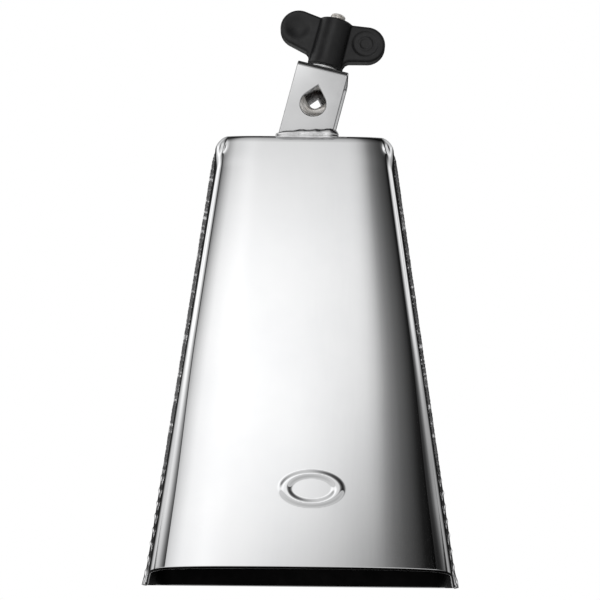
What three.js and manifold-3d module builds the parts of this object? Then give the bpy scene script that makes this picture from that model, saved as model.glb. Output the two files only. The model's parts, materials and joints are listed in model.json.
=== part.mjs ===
// A hand-percussion cowbell with a clamp for a mounting rod. Millimetres, +Z up.
// The origin is the middle of the mouth, at the height of the two seam corners that the mouth's rims meet in.
// The bell widens downwards. Its front faces -Y, and the clamp leans towards +X.
import * as THREE from "three";
import { mergeVertices } from "three/addons/utils/BufferGeometryUtils.js";
import Module from "manifold-3d";

const wasm = await Module();
wasm.setup();

const { lerp, smoothstep, degToRad } = THREE.MathUtils;

// The bell: one steel blank, folded over at the crown and welded up both sides.
const SHEET = 1.2; // thickness of the steel
const PANEL_LENGTH = 203.2; // 8 inches from rim to crown, along the panel
const MOUTH_HALF_WIDTH = 69.4; // seam to centre, at the mouth
const CROWN_HALF_WIDTH = 40.8;
const MOUTH_HALF_DEPTH = 35.7; // panel to centre, at the mouth
const CROWN_HALF_DEPTH = 13.1;
const DOME_MOUTH = degToRad(4); // how far the domed panel has turned back at its side edges, at the mouth
const EDGE_ROLL = degToRad(10); // how much further the outer half of the panel rolls back
const ROLL_START = 0.5; // where that starts, as a share of the panel's half width
const CREASE_RADIUS = 2; // between the panel and the shoulder
const SHOULDER_TURN_CROWN = degToRad(37); // how far the surface has turned where the shoulder starts
const SHOULDER_TURN_MOUTH = degToRad(21);
const SHOULDER_CROWN = 5.6; // radius between crease and side wall
const SHOULDER_MOUTH = 8.9;
const SHOULDER_SWELL = 2.8; // what the lower half of the bell adds to that radius
const WALL_SPREAD = 2.8; // the side walls spread by this much on their way to the seam
const FULL_START = 187; // from here up the crease fades out, and the shoulder gets fuller
const FULL_END = 199;
const FULL_RADIUS = 6.4;
const LEAST_RADIUS = 1.5; // where the crown's ends round over
const FULL_SPREAD = 0.6;
const CROWN_CORNER = 4.8; // radius of the crown's ends, seen from the front
const CROWN_EDGE = 1.8; // the fold between panel and crown is elliptic: this deep,
const CROWN_EDGE_RUN = 3.4; // and this long down the panel
const SEAM_GAP = 1.6; // the slit between the blank's edges, which the weld fills
const MARK_HALF_WIDTH = 14.8; // the raised oval on the front panel
const MARK_HALF_HEIGHT = 8.5;
const MARK_BAND = 5; // width of its raised band
const MARK_ACROSS = 4.5; // its middle
const MARK_ALONG = 36;
const MARK_RISE = 0.3;

// The clamp: a strap bracket on the crown, with an eye bolt inside that a wing nut draws up.
const CLAMP_LEAN = degToRad(14);
const STRAP = 2.3; // thickness of the strap
const BRACKET_WIDTH = 24;
const BRACKET_DEPTH = 25.4; // outside face to outside face of the two legs
const BRACKET_HEIGHT = 34.8; // crown to the top of the bridge, along the leaning axis
const BRACKET_BEND = 3; // outside radius
const FOOT_BEVEL = 2.3; // the legs' feet are bevelled outside, up to this height above the crown
const ROD_HOLE_RADIUS = 6;
const ROD_HOLE_HEIGHT = 15.8; // centre of the hole's round part, above the crown
const ROD_HOLE_TIP = 9.3; // from that centre up to the point of the drop
const SHANK_RADIUS = 3.5;
const SHANK_TOP = 64;
const CLEARANCE = 0.4; // between the shank and each bore around it
const EYE_OUTER = 9.3;
const EYE_THICKNESS = 7.4;
const EYE_HEIGHT = BRACKET_HEIGHT - STRAP - EYE_OUTER - 0.8; // drawn up under the bridge
const EYE_HOLE = 5.5; // the hole is round above and narrows to a V below, so that it centres the rod
const EYE_HOLE_RISE = 0.9; // from the eye's centre up to the hole's
const EYE_HOLE_NOSE = 2.4; // radius at the bottom of the V
const WASHER_RADIUS = 7.4;
const WASHER_THICKNESS = 0.9;
const COLLAR_RADIUS = 6.9; // the flange of the nut's threaded insert
const COLLAR_THICKNESS = 0.7;
const INSERT_RADIUS = 5.6;
const INSERT_LENGTH = 15;
const HUB_RADIUS = 8.2;
const HUB_TOP = BRACKET_HEIGHT + 25.3;
const WING_THICKNESS = 7.6;
const LOBE_RADIUS = 8.5;
const LOBE_REACH = 16.4; // axis to the centre of each lobe
const LOBE_HEIGHT = BRACKET_HEIGHT + 17.6;
const WING_FOOT = BRACKET_HEIGHT + 7; // where the wings' lower edges meet the hub
const GAP = 0.3; // between pieces that touch
const STACK_GAP = 0.2; // between the rings under the nut

const leanSine = (MOUTH_HALF_DEPTH - CROWN_HALF_DEPTH) / PANEL_LENGTH;
const leanCosine = Math.sqrt(1 - leanSine ** 2);
const RIM_HEIGHT = (MOUTH_HALF_DEPTH * leanSine) / leanCosine; // the rims' middles stand higher than the seam corners
const CROWN_HEIGHT = RIM_HEIGHT + PANEL_LENGTH * leanCosine;

const chrome = new THREE.MeshStandardMaterial({ color: 0xe2e4e8, roughness: 0.06, metalness: 1 });
const weldMetal = new THREE.MeshStandardMaterial({ color: 0xb4b6ba, roughness: 0.32, metalness: 1 });
const steel = new THREE.MeshStandardMaterial({ color: 0xcfcac2, roughness: 0.2, metalness: 1 });
const nylon = new THREE.MeshStandardMaterial({ color: 0x18181a, roughness: 0.5, metalness: 0 });

// ---- solids and geometry ----

function toSolid(geometry) {
  const bare = geometry.index ? geometry.toNonIndexed() : geometry.clone();
  bare.deleteAttribute("normal");
  bare.deleteAttribute("uv");
  const merged = mergeVertices(bare, 1e-4);
  return new wasm.Manifold(
    new wasm.Mesh({
      numProp: 3,
      vertProperties: merged.attributes.position.array,
      triVerts: new Uint32Array(merged.index.array),
    }),
  );
}

function toGeometry(solid) {
  const mesh = solid.getMesh();
  const geometry = new THREE.BufferGeometry();
  geometry.setAttribute("position", new THREE.BufferAttribute(mesh.vertProperties, 3));
  geometry.setIndex(new THREE.BufferAttribute(mesh.triVerts, 1));
  geometry.computeVertexNormals();
  return geometry;
}

const cut = (solid, ...tools) => tools.reduce((left, tool) => left.subtract(tool), solid);
const join = (solid, ...others) => others.reduce((whole, other) => whole.add(other), solid);

// A shape drawn with x and z, given a length along Y.
function extrudeAlongY(shape, from, to, bevel = 0, curveSegments = 10) {
  const options = { depth: to - from - 2 * bevel, curveSegments, bevelEnabled: bevel > 0 };
  Object.assign(options, { bevelThickness: bevel, bevelSize: bevel, bevelOffset: -bevel, bevelSegments: 2 });
  const geometry = new THREE.ExtrudeGeometry(shape, options);
  return toSolid(geometry.rotateX(Math.PI / 2).translate(0, to - bevel, 0));
}

// A shape drawn with y and z, given a length along X.
function extrudeAlongX(shape, from, to) {
  const geometry = new THREE.ExtrudeGeometry(shape, { depth: to - from, bevelEnabled: false, curveSegments: 6 });
  geometry.translate(0, 0, from);
  const cycle = new THREE.Matrix4().makeBasis(
    new THREE.Vector3(0, 1, 0),
    new THREE.Vector3(0, 0, 1),
    new THREE.Vector3(1, 0, 0),
  );
  return toSolid(geometry.applyMatrix4(cycle));
}

// A profile of [radius, height] pairs turned about Z. It starts and ends on the axis or closes on itself.
function turnAboutZ(profile, segments = 32) {
  const points = profile.map(([radius, height]) => new THREE.Vector2(radius, height));
  return toSolid(new THREE.LatheGeometry(points, segments).rotateX(Math.PI / 2));
}

const rod = (radius, from, to, segments) =>
  turnAboutZ([[0, from], [radius, from], [radius, to], [0, to]], segments); // prettier-ignore

const tube = (inner, outer, from, to, segments) =>
  turnAboutZ([[inner, from], [outer, from], [outer, to], [inner, to], [inner, from]], segments); // prettier-ignore

// Joins rings of points into one closed solid. Point i of a ring lies across from point (length - i),
// so each end is closed by rungs between those two.
function loft(rings) {
  const count = rings[0].length;
  const positions = rings.flat().flatMap((point) => point.toArray());
  const index = [];
  for (let ring = 0; ring + 1 < rings.length; ring++)
    for (let i = 0; i < count; i++) {
      const a = ring * count + i;
      const b = ring * count + ((i + 1) % count);
      index.push(a, b, b + count, a, b + count, a + count);
    }
  const last = (rings.length - 1) * count;
  for (let i = 0; i < count / 2; i++) {
    const rung = [i, i + 1, count - i - 1, (count - i) % count];
    if (i > 0) index.push(rung[0], rung[3], rung[2], last + rung[0], last + rung[2], last + rung[3]);
    if (i + 1 < count / 2) index.push(rung[0], rung[2], rung[1], last + rung[0], last + rung[1], last + rung[2]);
  }
  const geometry = new THREE.BufferGeometry();
  geometry.setAttribute("position", new THREE.Float32BufferAttribute(positions, 3));
  geometry.setIndex(index);
  return toSolid(geometry);
}

function addMesh(group, name, material, solid) {
  const mesh = new THREE.Mesh(toGeometry(solid), material);
  mesh.name = name;
  group.add(mesh);
}

// ---- the bell ----

// How far the panel has fallen back at a share of its half width, as a share of that width.
function panelSag(share, dome) {
  const outer = Math.max(0, (share - ROLL_START) / (1 - ROLL_START));
  return (dome * share ** 2) / 2 + (EDGE_ROLL * (1 - ROLL_START) * outer ** 3) / 3;
}

// How far across and how far back an arc goes while the surface turns between two directions.
const arcRun = (from, to, radius) => [
  radius * (Math.sin(to) - Math.sin(from)),
  radius * (Math.cos(from) - Math.cos(to)),
];

// One quarter of the bell's section, square to the front panel, as [x, distance behind the panel] pairs
// from the panel's middle to the seam. Distance along the panel starts at the mouth.
function quarterSection(along, inset, widthInset, depthInset) {
  const share = along / PANEL_LENGTH;
  const rest = Math.max(0, 1 - share);
  const full = smoothstep(along, FULL_START, FULL_END);
  const halfWidth = lerp(MOUTH_HALF_WIDTH, CROWN_HALF_WIDTH, share) - inset - widthInset;
  const seamDepth = lerp(MOUTH_HALF_DEPTH, CROWN_HALF_DEPTH, share) / leanCosine;
  const bodyRadius = lerp(SHOULDER_CROWN, SHOULDER_MOUTH, rest) + SHOULDER_SWELL * smoothstep(rest, 0.45, 0.85);
  const outerRadius = Math.max(LEAST_RADIUS, lerp(bodyRadius, FULL_RADIUS, full) - 1.25 * widthInset);
  const radius = outerRadius - inset;
  const crease = CREASE_RADIUS - inset;
  const start = inset + depthInset;
  const wall = Math.PI / 2 - Math.atan(lerp(WALL_SPREAD, FULL_SPREAD, full) / (seamDepth - 0.6 * outerRadius));
  const dome = DOME_MOUTH * rest ** 1.5;
  const edgeTurn = dome + EDGE_ROLL;
  const shoulderTurn = lerp(lerp(SHOULDER_TURN_CROWN, SHOULDER_TURN_MOUTH, rest), edgeTurn + 0.03, full);
  const [creaseAcross, creaseBack] = arcRun(edgeTurn, shoulderTurn, crease);
  const [shoulderAcross, shoulderBack] = arcRun(shoulderTurn, wall, radius);
  const spread = 1 / Math.tan(wall);
  const sag = panelSag(1, dome);
  const wallDepth = seamDepth - start - creaseBack - shoulderBack;
  const panelHalf = (halfWidth - creaseAcross - shoulderAcross - spread * wallDepth) / (1 - spread * sag);
  const points = [0, 0.2, 0.4, 0.6, 0.75, 0.88, 1].map((xi) => [xi * panelHalf, start + panelHalf * panelSag(xi, dome)]);
  const shoulderSteps = 5;
  for (let i = 0; i <= shoulderSteps; i++) {
    const [across, back] = arcRun(shoulderTurn, lerp(shoulderTurn, wall, i / shoulderSteps), radius);
    points.push([panelHalf + creaseAcross + across, start + panelHalf * sag + creaseBack + back]);
  }
  points.push([halfWidth, seamDepth]);
  return points;
}

// The whole section as a ring: the front from its left seam to its right one, then the back.
function bellRing(along, inset = 0, widthInset = 0, depthInset = 0) {
  const quarter = quarterSection(along, inset, widthInset, depthInset);
  const place = ([x, behind], side) =>
    new THREE.Vector3(
      x,
      side * (MOUTH_HALF_DEPTH - along * leanSine - behind * leanCosine),
      RIM_HEIGHT + along * leanCosine - behind * leanSine,
    );
  const left = quarter.toReversed().map(([x, behind]) => [-x, behind]);
  const across = [...left, ...quarter.slice(1)];
  const front = across.map((pair) => place(pair, -1));
  const back = across.slice(1, -1).map((pair) => place(pair, 1));
  return [...front, ...back.toReversed()];
}

// Everything inside the sheet's outer face, or inside its inner face where inset is the sheet's thickness.
function bellSolid(inset, start) {
  const corner = CROWN_CORNER - inset;
  const edge = CROWN_EDGE - inset;
  const run = CROWN_EDGE_RUN - inset;
  const top = PANEL_LENGTH - inset / leanCosine;
  const bodySteps = 11;
  const rings = [];
  for (let i = 0; i <= bodySteps; i++) rings.push(bellRing(lerp(start, top - corner, i / bodySteps), inset));
  for (const drop of [0.75, 0.52, 0.33, 0.19, 0.09, 0.03, 0].map((share) => share * corner)) {
    const widthInset = corner - Math.sqrt(corner ** 2 - (corner - drop) ** 2);
    const depthInset = drop < run ? edge * (1 - Math.sqrt(1 - (1 - drop / run) ** 2)) : 0;
    rings.push(bellRing(top - drop, inset, widthInset, depthInset));
  }
  return loft(rings);
}

// A plain raised oval on the front panel, pressed from inside.
function embossedOval() {
  const oval = new THREE.Shape().absellipse(0, 0, MARK_HALF_WIDTH, MARK_HALF_HEIGHT, 0, 2 * Math.PI);
  const inner = [MARK_HALF_WIDTH - MARK_BAND, MARK_HALF_HEIGHT - MARK_BAND * 0.7];
  oval.holes.push(new THREE.Path().absellipse(0, 0, ...inner, 0, 2 * Math.PI));
  const height = RIM_HEIGHT + MARK_ALONG * leanCosine;
  const surface = -(MOUTH_HALF_DEPTH - MARK_ALONG * leanSine);
  const lean = Math.asin(leanSine);
  return extrudeAlongY(oval, -MARK_RISE, 1)
    .rotate([(-lean * 180) / Math.PI, 0, 0])
    .translate([MARK_ACROSS, surface, height]);
}

function bellShell() {
  const slit = toSolid(
    new THREE.BoxGeometry(4 * MOUTH_HALF_WIDTH, SEAM_GAP, 2 * (CROWN_HEIGHT - CROWN_CORNER - 1.5)),
  );
  return cut(join(bellSolid(0, 0), embossedOval()), bellSolid(SHEET, -12), slit);
}

// The weld that fills one side's slit: a neck between the blank's edges under a rippled cap.
function seamWeld(side) {
  const seam = (height) => {
    const share = height / (CROWN_HEIGHT - CROWN_HALF_DEPTH * (leanSine / leanCosine));
    return lerp(MOUTH_HALF_WIDTH, CROWN_HALF_WIDTH, share);
  };
  const bottom = 0.6;
  const top = CROWN_HEIGHT - CROWN_CORNER - 2;
  const steps = 42;
  const neck = SEAM_GAP / 2 - GAP;
  const rings = [];
  for (let i = 0; i <= steps; i++) {
    const height = lerp(bottom, top, i / steps);
    const end = Math.min(1, (steps - i + 0.6) / 3, (i + 0.8) / 2);
    const ripple = 0.16 * Math.sin(height * 0.62) + 0.08 * Math.sin(height * 1.31 + side);
    const cap = (1.9 + ripple) * lerp(0.6, 1, end);
    const rise = GAP + (0.85 + ripple) * lerp(0.5, 1, end);
    const x = seam(height);
    const half = [
      [x - SHEET, 0],
      [x - SHEET, neck],
      [x + GAP, neck],
      [x + GAP, cap],
      [x + lerp(GAP, rise, 0.75), cap * 0.72],
      [x + rise, 0],
    ];
    const other = half.slice(1, -1).map(([across, y]) => [across, -y]);
    const ring = [...half, ...other.toReversed()].map(([across, y]) => new THREE.Vector3(side * across, y, height));
    rings.push(side < 0 ? ring : [ring[0], ...ring.slice(1).toReversed()]);
  }
  return loft(rings);
}

// ---- the clamp, in its own frame: origin on the crown, Z along the leaning bolt ----

// The point-up drop that the mounting rod is drawn up into.
function rodHole() {
  const tangent = Math.asin(ROD_HOLE_RADIUS / ROD_HOLE_TIP);
  const drop = new THREE.Shape();
  drop.moveTo(0, ROD_HOLE_HEIGHT + ROD_HOLE_TIP);
  drop.absarc(0, ROD_HOLE_HEIGHT, ROD_HOLE_RADIUS, Math.PI - tangent, 2 * Math.PI + tangent, false);
  drop.closePath();
  return extrudeAlongY(drop, -BRACKET_DEPTH, BRACKET_DEPTH, 0, 20);
}

function mountingBracket() {
  const half = BRACKET_DEPTH / 2;
  const inner = half - STRAP;
  const bend = BRACKET_BEND - STRAP;
  const top = BRACKET_HEIGHT;
  const foot = -8;
  const strap = new THREE.Shape();
  strap.moveTo(-half, foot);
  strap.lineTo(-inner, foot);
  strap.absarc(-inner + bend, top - STRAP - bend, bend, Math.PI, Math.PI / 2, true);
  strap.absarc(inner - bend, top - STRAP - bend, bend, Math.PI / 2, 0, true);
  strap.lineTo(inner, foot);
  strap.lineTo(half, foot);
  strap.absarc(half - BRACKET_BEND, top - BRACKET_BEND, BRACKET_BEND, 0, Math.PI / 2, false);
  strap.absarc(-half + BRACKET_BEND, top - BRACKET_BEND, BRACKET_BEND, Math.PI / 2, Math.PI, false);
  const belowCrown = new THREE.BoxGeometry(80, 80, 40).translate(0, 0, -20 + GAP);
  // The feet are bevelled outside to take the welds.
  const bevel = new THREE.Shape();
  bevel.moveTo(-half - 1, FOOT_BEVEL + 1);
  bevel.lineTo(-half - 1, -2);
  bevel.lineTo(-half + FOOT_BEVEL + 2, -2);
  bevel.closePath();
  const leanDegrees = (CLAMP_LEAN * 180) / Math.PI;
  const upright = (solid) => solid.rotate([0, -leanDegrees, 0]);
  const frontBevel = extrudeAlongX(bevel, -40, 40);
  const rearBevel = frontBevel.mirror([0, 1, 0]);
  const boltHole = rod(SHANK_RADIUS + CLEARANCE, top - 2 * STRAP, top + STRAP);
  return cut(
    extrudeAlongX(strap, -BRACKET_WIDTH / 2, BRACKET_WIDTH / 2),
    rodHole(),
    boltHole,
    ...[toSolid(belowCrown), frontBevel, rearBevel].map(upright),
  );
}

// The weld that fills one foot's bevel and runs over the fold below it. side is -1 in front and 1 behind.
// It is drawn in the bell's own frame.
function bracketWeld(side) {
  const steps = 20;
  const middleX = 1.1; // the bead runs on further at the side the bracket leans to
  const reach = BRACKET_WIDTH / 2 / Math.cos(CLAMP_LEAN) + 1.9;
  const face = BRACKET_DEPTH / 2;
  const middle = [face + 0.2, -0.1];
  const rings = [];
  for (let i = 0; i <= steps; i++) {
    const x = lerp(-reach, reach, i / steps);
    const end = Math.sqrt(Math.max(0.1, 1 - (x / reach) ** 6));
    const bulge = 1.5 + 0.2 * Math.sin(x * 0.9 + side) + 0.12 * Math.sin(x * 2.3);
    const front = [
      [face + 0.05, FOOT_BEVEL - 0.45],
      [face + 0.3 + bulge * 0.6, 1.3],
      [face + 0.3 + bulge, 0],
      [face + 0.5 + bulge * 0.8, -1.1],
      [face + 1.2, -2.1],
    ];
    const back = [
      [face + 0.7, -1.3],
      [face - 0.25, 0.1],
      [face - 1.2, 0.45],
    ];
    const ring = [...front, ...back].map(
      ([depth, z]) =>
        new THREE.Vector3(x + middleX, side * lerp(middle[0], depth, end), CROWN_HEIGHT + lerp(middle[1], z, end)),
    );
    rings.push(side < 0 ? ring : [ring[0], ...ring.slice(1).toReversed()]);
  }
  return loft(rings);
}

function eyeBolt() {
  const half = EYE_THICKNESS / 2;
  const middle = EYE_HEIGHT + EYE_HOLE_RISE;
  const eighth = Math.PI / 4;
  const outline = new THREE.Shape().absarc(0, EYE_HEIGHT, EYE_OUTER, 0, 2 * Math.PI);
  const hole = new THREE.Path().absarc(0, middle, EYE_HOLE, -eighth, Math.PI + eighth);
  const noseHeight = middle - (EYE_HOLE - EYE_HOLE_NOSE) * Math.SQRT2;
  hole.absarc(0, noseHeight, EYE_HOLE_NOSE, Math.PI + eighth, 2 * Math.PI - eighth);
  outline.holes.push(hole);
  const eye = extrudeAlongY(outline, -half, half, 1.2, 14);
  const foot = middle + EYE_HOLE + 1.2;
  const dome = 1.3;
  const shank = turnAboutZ([
    [0, foot],
    [SHANK_RADIUS, foot],
    [SHANK_RADIUS, SHANK_TOP - dome],
    [SHANK_RADIUS * 0.85, SHANK_TOP - dome * 0.4],
    [SHANK_RADIUS * 0.5, SHANK_TOP],
    [0, SHANK_TOP],
  ]); // prettier-ignore
  return join(eye, shank);
}

const WASHER_FOOT = BRACKET_HEIGHT + STACK_GAP;
const COLLAR_FOOT = WASHER_FOOT + WASHER_THICKNESS + STACK_GAP;
const HUB_FOOT = COLLAR_FOOT + COLLAR_THICKNESS + STACK_GAP;

const washer = () => tube(SHANK_RADIUS + CLEARANCE, WASHER_RADIUS, WASHER_FOOT, WASHER_FOOT + WASHER_THICKNESS);

// The threaded metal core of the wing nut, which shows as a collar under the hub.
function wingNutInsert() {
  const bore = SHANK_RADIUS + CLEARANCE;
  return turnAboutZ([
    [bore, COLLAR_FOOT],
    [COLLAR_RADIUS, COLLAR_FOOT],
    [COLLAR_RADIUS, COLLAR_FOOT + COLLAR_THICKNESS],
    [INSERT_RADIUS, COLLAR_FOOT + COLLAR_THICKNESS],
    [INSERT_RADIUS, COLLAR_FOOT + COLLAR_THICKNESS + INSERT_LENGTH],
    [bore, COLLAR_FOOT + COLLAR_THICKNESS + INSERT_LENGTH],
    [bore, COLLAR_FOOT],
  ]); // prettier-ignore
}

// The outline of both wings: two round lobes joined through the hub.
function wingOutline() {
  const root = HUB_RADIUS - 1;
  const low = degToRad(-79);
  const high = degToRad(98);
  const outline = new THREE.Shape();
  outline.moveTo(-root, WING_FOOT);
  outline.lineTo(root, WING_FOOT);
  outline.absarc(LOBE_REACH, LOBE_HEIGHT, LOBE_RADIUS, low, high, false);
  outline.lineTo(root, HUB_TOP - 0.5);
  outline.lineTo(-root, HUB_TOP - 0.5);
  outline.absarc(-LOBE_REACH, LOBE_HEIGHT, LOBE_RADIUS, Math.PI - high, Math.PI - low, false);
  outline.closePath();
  return outline;
}

function wingNut() {
  const wings = extrudeAlongY(wingOutline(), -WING_THICKNESS / 2, WING_THICKNESS / 2, 1.4, 12);
  const hub = turnAboutZ([
    [0, HUB_FOOT],
    [HUB_RADIUS - 0.5, HUB_FOOT],
    [HUB_RADIUS, HUB_FOOT + 1],
    [HUB_RADIUS, HUB_TOP - 1.4],
    [HUB_RADIUS - 0.4, HUB_TOP - 0.4],
    [HUB_RADIUS - 1.4, HUB_TOP],
    [0, HUB_TOP],
  ]); // prettier-ignore
  const pocket = rod(INSERT_RADIUS + GAP, HUB_FOOT - 1, COLLAR_FOOT + COLLAR_THICKNESS + INSERT_LENGTH + GAP);
  const bore = rod(SHANK_RADIUS + CLEARANCE, HUB_FOOT, HUB_TOP + 1);
  // Each lobe has a thumb hollow on both faces.
  const hollowRadius = 14;
  const hollows = [-1, 1].flatMap((end) =>
    [-1, 1].map((face) => {
      const ball = new THREE.SphereGeometry(hollowRadius, 28, 20);
      const away = face * (WING_THICKNESS / 2 + hollowRadius - 1.1);
      return toSolid(ball.translate(end * (LOBE_REACH - 0.4), away, LOBE_HEIGHT));
    }),
  );
  return cut(join(hub, wings), pocket, bore, ...hollows);
}

// ---- assembly ----

const cowbell = new THREE.Group();
addMesh(cowbell, "bell_shell", chrome, bellShell());
addMesh(cowbell, "left_seam_weld", weldMetal, seamWeld(-1));
addMesh(cowbell, "right_seam_weld", weldMetal, seamWeld(1));
addMesh(cowbell, "front_bracket_weld", weldMetal, bracketWeld(-1));
addMesh(cowbell, "rear_bracket_weld", weldMetal, bracketWeld(1));

const clamp = new THREE.Group();
clamp.position.set(0, 0, CROWN_HEIGHT);
clamp.rotation.y = CLAMP_LEAN;
addMesh(clamp, "mounting_bracket", chrome, mountingBracket());
addMesh(clamp, "eye_bolt", steel, eyeBolt());
addMesh(clamp, "washer", steel, washer());
addMesh(clamp, "wing_nut_insert", steel, wingNutInsert());
addMesh(clamp, "wing_nut", nylon, wingNut());
cowbell.add(clamp);

export default cowbell;
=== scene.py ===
# A chrome cowbell with a rod clamp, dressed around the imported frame.
# The frame's lengths are in metres. The driving dimensions and the mesh helpers are in millimetres.
import json
import random
from contextlib import contextmanager
from math import asin, atan, atan2, copysign, cos, exp, hypot, pi, radians, sin, sqrt, tan

import bmesh
import bpy
import numpy as np
from mathutils import Matrix, Vector, noise


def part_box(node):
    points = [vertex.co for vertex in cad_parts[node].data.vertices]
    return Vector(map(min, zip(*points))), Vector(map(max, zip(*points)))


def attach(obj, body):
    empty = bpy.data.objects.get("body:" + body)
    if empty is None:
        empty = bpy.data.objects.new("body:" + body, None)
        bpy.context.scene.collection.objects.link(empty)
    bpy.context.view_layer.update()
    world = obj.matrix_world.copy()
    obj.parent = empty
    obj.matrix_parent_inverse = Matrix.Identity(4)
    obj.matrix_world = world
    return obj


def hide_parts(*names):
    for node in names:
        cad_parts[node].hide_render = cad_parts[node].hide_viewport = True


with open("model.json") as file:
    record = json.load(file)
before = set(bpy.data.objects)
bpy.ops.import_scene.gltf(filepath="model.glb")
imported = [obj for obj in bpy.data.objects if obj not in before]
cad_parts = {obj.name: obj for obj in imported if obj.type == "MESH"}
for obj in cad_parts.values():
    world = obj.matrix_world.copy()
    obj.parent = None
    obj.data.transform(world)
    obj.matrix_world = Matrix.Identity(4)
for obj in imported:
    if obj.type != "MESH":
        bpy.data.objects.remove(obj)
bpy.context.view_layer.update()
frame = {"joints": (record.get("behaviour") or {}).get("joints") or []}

MM = 0.001

# ---- driving dimensions, in millimetres, as the frame has them ----

MOUTH_HALF_WIDTH, MOUTH_HALF_DEPTH, CROWN_HEIGHT = [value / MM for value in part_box("bell_shell")[1]]
CROWN_HALF_WIDTH = 40.8
CROWN_HALF_DEPTH = 13.1
PANEL_LENGTH = 203.2
SHEET = 1.2
DOME_MOUTH = radians(4)
EDGE_ROLL = radians(10)
ROLL_START = 0.5
WALL_SPREAD = 2.8
SHOULDER_TURN_CROWN = radians(37)
SHOULDER_TURN_MOUTH = radians(21)
SHOULDER_CROWN = 5.6
SHOULDER_MOUTH = 8.9
SHOULDER_SWELL = 2.8
SWELL_START, SWELL_END = 0.45, 0.85  # shares of the way from crown to mouth
SHOULDER_TIGHTEN = 1.25  # how fast the shoulder shrinks as the crown's corner pulls in
WALL_SHARE = 0.6
CREASE_RADIUS = 2.0
FULL_START, FULL_END = 187.0, 199.0  # where the shoulder turns into the crown's corner
FULL_RADIUS = 6.4
LEAST_RADIUS = 1.5
FULL_SPREAD = 0.6
FULL_TURN = 0.03
CROWN_CORNER = 4.8
CROWN_EDGE = 1.8
CROWN_EDGE_RUN = 3.4

LEAN_SINE = (MOUTH_HALF_DEPTH - CROWN_HALF_DEPTH) / PANEL_LENGTH
LEAN_COSINE = sqrt(1 - LEAN_SINE**2)
RIM_HEIGHT = MOUTH_HALF_DEPTH * LEAN_SINE / LEAN_COSINE

NUT_JOINT = next(joint for joint in frame["joints"] if joint["name"] == "nut_turn")
CLAMP_AXIS = Vector(NUT_JOINT["axis"]).normalized()
CLAMP_LEAN = atan2(CLAMP_AXIS.x, CLAMP_AXIS.z)
CLAMP = Matrix.Translation((0, 0, CROWN_HEIGHT)) @ Matrix.Rotation(CLAMP_LEAN, 4, "Y")

STRAP = 2.3
BRACKET_WIDTH = 24.0
BRACKET_DEPTH = 25.4
BRACKET_HEIGHT = 34.8
BRACKET_BEND = 3.0
ROD_HOLE_RADIUS = 6.0
ROD_HOLE_HEIGHT = 15.8
ROD_HOLE_TIP = 9.3
SHANK_RADIUS = 3.5
SHANK_TOP = 64.0
THREAD_PITCH = 1.0
THREAD_DEPTH = 0.55
THREAD_DOME = 1.5
CLEARANCE = 0.4
EYE_OUTER = 9.3
EYE_THICKNESS = 7.4
EYE_HEIGHT = BRACKET_HEIGHT - STRAP - EYE_OUTER - 0.8
EYE_HOLE = 5.5
EYE_HOLE_RISE = 0.9
EYE_HOLE_NOSE = 2.4
STACK_GAP = 0.2
WASHER_RADIUS = 7.4
WASHER_THICKNESS = 0.9
COLLAR_RADIUS = 6.9
COLLAR_THICKNESS = 0.7
INSERT_RADIUS = 5.6
INSERT_LENGTH = 15.0
HUB_RADIUS = 8.2
HUB_TOP = BRACKET_HEIGHT + 25.3
WING_THICKNESS = 7.6
LOBE_RADIUS = 8.5
LOBE_REACH = 16.4
LOBE_HEIGHT = BRACKET_HEIGHT + 17.6
WING_FOOT = BRACKET_HEIGHT + 7
DIMPLE_REACH_LEFT = 17.0
DIMPLE_REACH_RIGHT = 15.6
DIMPLE_RADIUS = 5.9
DIMPLE_DEPTH = 0.5
RING_RADIUS = 2.9
BOWL_RADIUS = 15.0
BOWL_DEPTH = 1.25
POCKET_GAP = 0.3
BORE_GAP = 0.35
NUT_VOXEL = 0.28

WASHER_FOOT = BRACKET_HEIGHT + STACK_GAP
COLLAR_FOOT = WASHER_FOOT + WASHER_THICKNESS + STACK_GAP
HUB_FOOT = COLLAR_FOOT + COLLAR_THICKNESS + STACK_GAP
INSERT_TOP = COLLAR_FOOT + COLLAR_THICKNESS + INSERT_LENGTH


def lerp(a, b, t):
    return a + (b - a) * t


def smoothstep(low, high, value):
    t = np.clip((value - low) / (high - low), 0, 1)
    return t * t * (3 - 2 * t)


def show(name, data):
    """A new object in the scene."""
    thing = bpy.data.objects.new(name, data)
    bpy.context.scene.collection.objects.link(thing)
    return thing


# ---- camera: below the mouth, looking up ----

CAMERA_LENS = 170.52
CAMERA_PLACE = (-0.0014, -1.2708, -0.1425)
CAMERA_PITCH = radians(12.16)
CAMERA_ROLL = radians(0.56)


def add_camera():
    camera = bpy.data.cameras.new("camera")
    camera.sensor_width = 36
    camera.lens = CAMERA_LENS
    camera.clip_end = 50
    holder = show("camera", camera)
    place = Matrix.Translation(CAMERA_PLACE)
    pitch = Matrix.Rotation(radians(90) + CAMERA_PITCH, 4, "X")
    holder.matrix_world = place @ pitch @ Matrix.Rotation(CAMERA_ROLL, 4, "Z")
    bpy.context.scene.camera = holder


add_camera()

# ---- materials ----


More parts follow.
